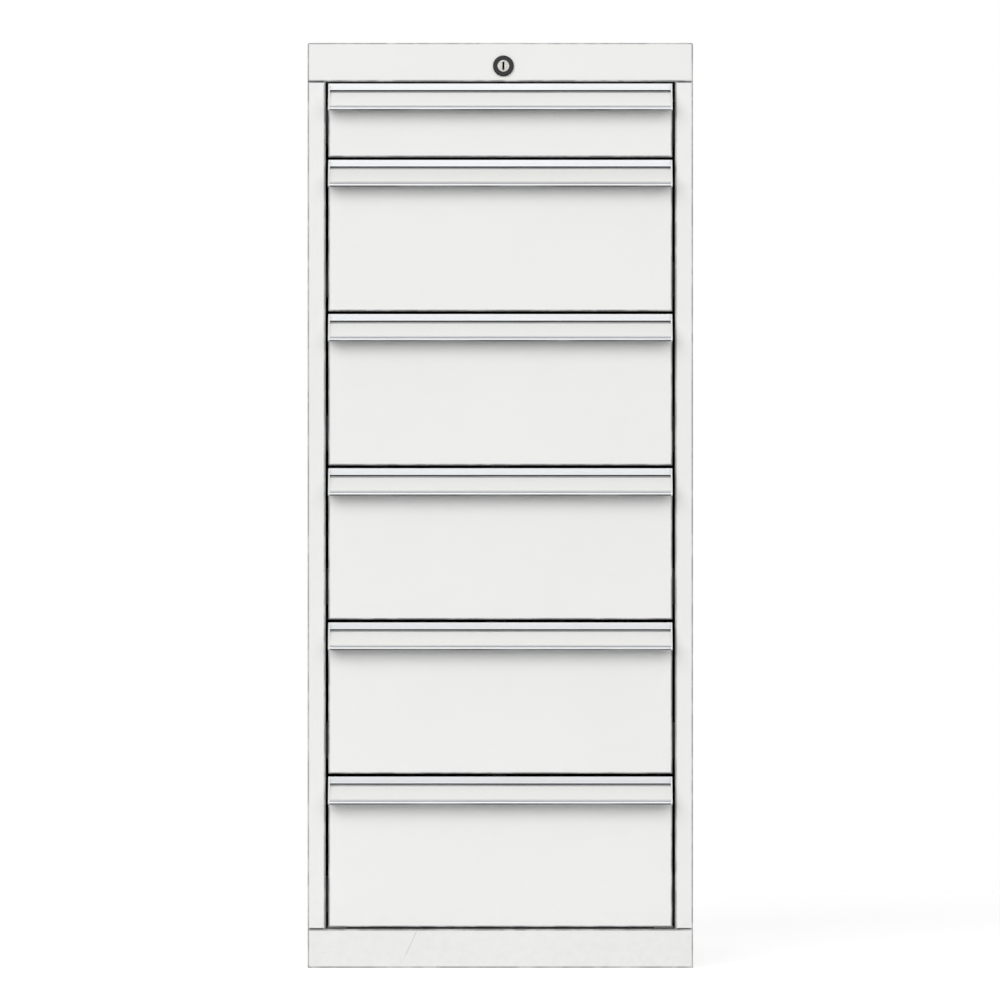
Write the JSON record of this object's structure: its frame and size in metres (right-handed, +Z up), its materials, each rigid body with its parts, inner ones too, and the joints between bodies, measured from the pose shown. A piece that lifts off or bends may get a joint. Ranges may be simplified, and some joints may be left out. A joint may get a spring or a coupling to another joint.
{
  "type": "multi-drawer cabinet",
  "caption": "Tall free-standing steel cabinet with full-width drawers on telescopic slides, angled label handles and a central lock in the top band.",
  "frame": {"origin": "on the floor, at the middle of the outline of the closed cabinet with its handles", "axes": "+Z up; +X to the right of someone facing the drawers; +Y from the drawer fronts to the back, so drawers open along -Y"},
  "size_m": [0.5, 0.622, 1.2],
  "materials": {
    "carcass_paint": "satin",
    "base_paint": "satin",
    "front_paint": "satin",
    "tray_paint": "satin",
    "inner_steel": "satin",
    "slide_steel": "satin",
    "handle_aluminium": "satin",
    "label_card": "matte",
    "cap_plastic": "matte",
    "lock_nickel": "polished",
    "lock_steel": "satin",
    "guide_nylon": "matte"
  },
  "bodies": {
    "carcass": {"left_side_panel": "carcass_paint", "right_side_panel": "carcass_paint", "back_panel": "carcass_paint", "top_cover": "carcass_paint", "base_frame": "base_paint", "floor_panel": "inner_steel", "rear_uprights": "inner_steel", "lock_rod_bracket": "inner_steel", "cabinet_rails_left": "slide_steel", "cabinet_rails_right": "slide_steel", "lock_housing": "lock_nickel", "lock_nut": "lock_nickel", "lock_bar_guides": "guide_nylon"},
    "lock_core": {"lock_plug": "lock_nickel", "lock_drive_rod": "lock_steel", "lock_crank": "lock_steel"},
    "locking_bar": {"lock_bar": "lock_steel"},
    "drawer_1": {"drawer_1_front": "front_paint", "drawer_1_tray": "tray_paint", "drawer_1_handle": "handle_aluminium", "drawer_1_label": "label_card", "drawer_1_handle_caps": "cap_plastic", "drawer_1_rails": "slide_steel"},
    "middle_1": {"drawer_1_middle_rails": "slide_steel"},
    "drawer_2": {"drawer_2_front": "front_paint", "drawer_2_tray": "tray_paint", "drawer_2_handle": "handle_aluminium", "drawer_2_label": "label_card", "drawer_2_handle_caps": "cap_plastic", "drawer_2_rails": "slide_steel"},
    "middle_2": {"drawer_2_middle_rails": "slide_steel"},
    "drawer_3": {"drawer_3_front": "front_paint", "drawer_3_tray": "tray_paint", "drawer_3_handle": "handle_aluminium", "drawer_3_label": "label_card", "drawer_3_handle_caps": "cap_plastic", "drawer_3_rails": "slide_steel"},
    "middle_3": {"drawer_3_middle_rails": "slide_steel"},
    "drawer_4": {"drawer_4_front": "front_paint", "drawer_4_tray": "tray_paint", "drawer_4_handle": "handle_aluminium", "drawer_4_label": "label_card", "drawer_4_handle_caps": "cap_plastic", "drawer_4_rails": "slide_steel"},
    "middle_4": {"drawer_4_middle_rails": "slide_steel"},
    "drawer_5": {"drawer_5_front": "front_paint", "drawer_5_tray": "tray_paint", "drawer_5_handle": "handle_aluminium", "drawer_5_label": "label_card", "drawer_5_handle_caps": "cap_plastic", "drawer_5_rails": "slide_steel"},
    "middle_5": {"drawer_5_middle_rails": "slide_steel"},
    "drawer_6": {"drawer_6_front": "front_paint", "drawer_6_tray": "tray_paint", "drawer_6_handle": "handle_aluminium", "drawer_6_label": "label_card", "drawer_6_handle_caps": "cap_plastic", "drawer_6_rails": "slide_steel"},
    "middle_6": {"drawer_6_middle_rails": "slide_steel"}
  },
  "joints": [
    {"name": "drawer_1_slide", "type": "slide", "parent": "carcass", "child": "drawer_1", "axis": [0, -1, 0], "range_m": [0, 0.5]},
    {"name": "middle_1_slide", "type": "slide", "parent": "carcass", "child": "middle_1", "axis": [0, -1, 0], "range_m": [0, 0.25]},
    {"name": "drawer_2_slide", "type": "slide", "parent": "carcass", "child": "drawer_2", "axis": [0, -1, 0], "range_m": [0, 0.5]},
    {"name": "middle_2_slide", "type": "slide", "parent": "carcass", "child": "middle_2", "axis": [0, -1, 0], "range_m": [0, 0.25]},
    {"name": "drawer_3_slide", "type": "slide", "parent": "carcass", "child": "drawer_3", "axis": [0, -1, 0], "range_m": [0, 0.5]},
    {"name": "middle_3_slide", "type": "slide", "parent": "carcass", "child": "middle_3", "axis": [0, -1, 0], "range_m": [0, 0.25]},
    {"name": "drawer_4_slide", "type": "slide", "parent": "carcass", "child": "drawer_4", "axis": [0, -1, 0], "range_m": [0, 0.5]},
    {"name": "middle_4_slide", "type": "slide", "parent": "carcass", "child": "middle_4", "axis": [0, -1, 0], "range_m": [0, 0.25]},
    {"name": "drawer_5_slide", "type": "slide", "parent": "carcass", "child": "drawer_5", "axis": [0, -1, 0], "range_m": [0, 0.5]},
    {"name": "middle_5_slide", "type": "slide", "parent": "carcass", "child": "middle_5", "axis": [0, -1, 0], "range_m": [0, 0.25]},
    {"name": "drawer_6_slide", "type": "slide", "parent": "carcass", "child": "drawer_6", "axis": [0, -1, 0], "range_m": [0, 0.5]},
    {"name": "middle_6_slide", "type": "slide", "parent": "carcass", "child": "middle_6", "axis": [0, -1, 0], "range_m": [0, 0.25]},
    {"name": "lock_turn", "type": "hinge", "parent": "carcass", "child": "lock_core", "pos_m": [0.004, -0.289, 1.17], "axis": [0, 1, 0], "range_deg": [0, 90]},
    {"name": "lock_bar_lift", "type": "slide", "parent": "carcass", "child": "locking_bar", "axis": [0, 0, 1], "range_m": [0, 0.0198]}
  ],
  "couplings": [
    {"joint": "middle_1_slide", "follows": "drawer_1_slide", "ratio": 0.5},
    {"joint": "middle_2_slide", "follows": "drawer_2_slide", "ratio": 0.5},
    {"joint": "middle_3_slide", "follows": "drawer_3_slide", "ratio": 0.5},
    {"joint": "middle_4_slide", "follows": "drawer_4_slide", "ratio": 0.5},
    {"joint": "middle_5_slide", "follows": "drawer_5_slide", "ratio": 0.5},
    {"joint": "middle_6_slide", "follows": "drawer_6_slide", "ratio": 0.5},
    {"joint": "lock_turn", "follows": "lock_bar_lift", "rad_per_m": 79.33}
  ]
}
